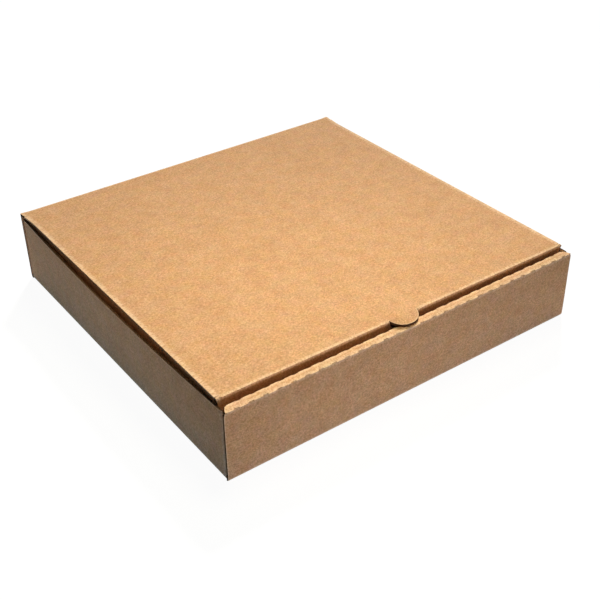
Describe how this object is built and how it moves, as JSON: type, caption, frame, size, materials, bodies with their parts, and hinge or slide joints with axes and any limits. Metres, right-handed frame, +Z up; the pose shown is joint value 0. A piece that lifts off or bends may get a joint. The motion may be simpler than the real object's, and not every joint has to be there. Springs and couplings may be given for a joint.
{
  "type": "pizza box",
  "caption": "Square kraft corrugated box folded from one sheet, with a roll-over front wall, tucked ears and a hinged lid with tuck flaps and a thumb tab.",
  "frame": {"origin": "centre of the box's underside", "axes": "+Z up, -Y towards the front wall with the thumb tab, +X to the right of someone facing the front"},
  "size_m": [0.2636, 0.254, 0.0505],
  "materials": {
    "kraft_board": "matte"
  },
  "bodies": {
    "tray": {"base_tray": "kraft_board"},
    "lid": {"lid": "kraft_board"}
  },
  "joints": [
    {"name": "lid_hinge", "type": "hinge", "parent": "tray", "child": "lid", "pos_m": [0, 0.12625, 0.04975], "axis": [-1, 0, 0], "range_deg": [0, 180]}
  ]
}
